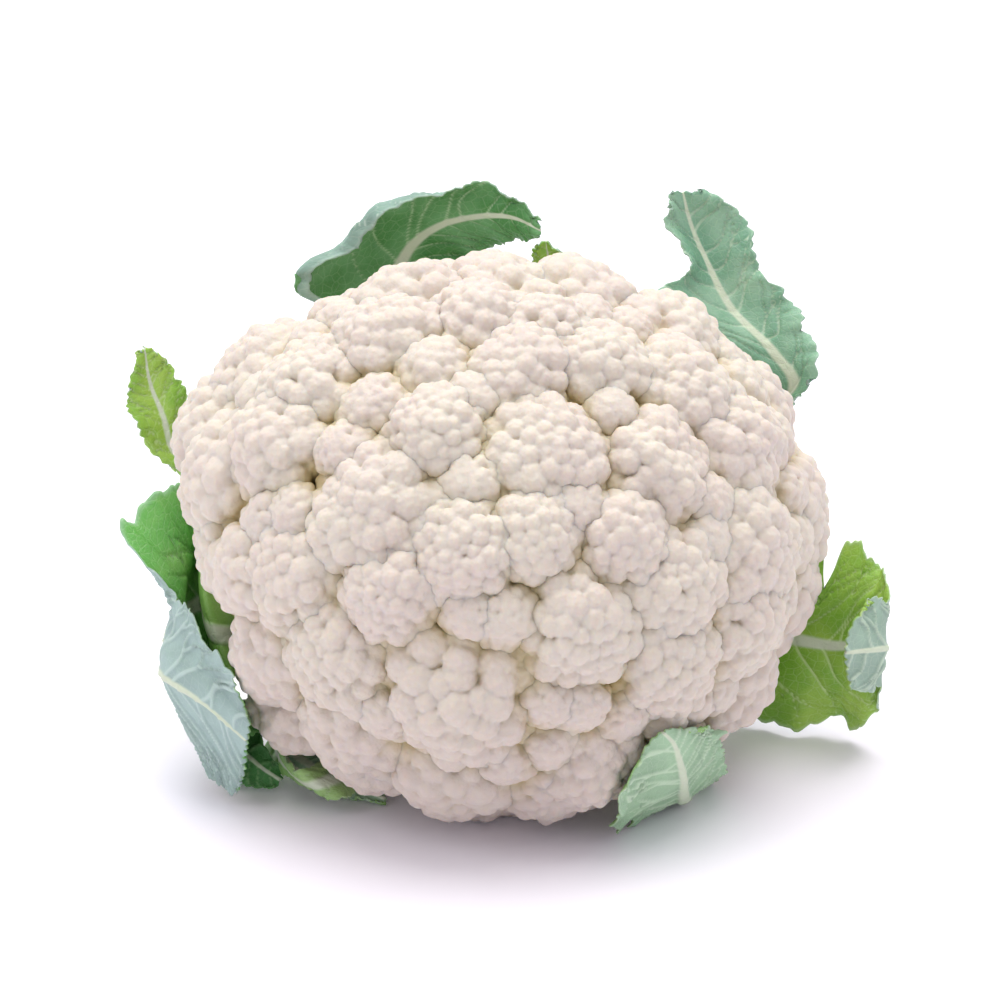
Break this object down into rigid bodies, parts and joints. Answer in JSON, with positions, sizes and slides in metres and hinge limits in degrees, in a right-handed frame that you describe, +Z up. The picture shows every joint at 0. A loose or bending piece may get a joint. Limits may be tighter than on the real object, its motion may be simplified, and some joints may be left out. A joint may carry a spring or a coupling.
{
  "type": "cauliflower",
  "caption": "Whole trimmed cauliflower lying on its side, with a knobbly ivory curd, a cut stalk and small curled green leaves round the rim.",
  "frame": {"origin": "on the flat spot of the lowest floret, at the level of the surface it rests on", "axes": "+Z up from the resting surface; the curd's crown faces -Y and up at 45 degrees; +X to the right when looking along +Y at the curd"},
  "size_m": [0.2395, 0.1754, 0.1654],
  "materials": {
    "curd": "soft matt ivory, fine grained, faintly translucent, tan in the crevices",
    "stalk": "pale green skin with leaf scars, moist cream cut face",
    "leaf": "green inner face with pale veins, waxy blue-grey underside"
  },
  "bodies": {
    "root": {"curd": "curd", "stalk": "stalk", "leaf_upper_left": "leaf", "leaf_top_tip": "leaf", "leaf_upper_right": "leaf", "leaf_left_small": "leaf", "leaf_left_large": "leaf", "leaf_lower_left_dark": "leaf", "leaf_lower_left_pale": "leaf", "leaf_lower_right": "leaf", "leaf_right": "leaf"}
  },
  "joints": []
}
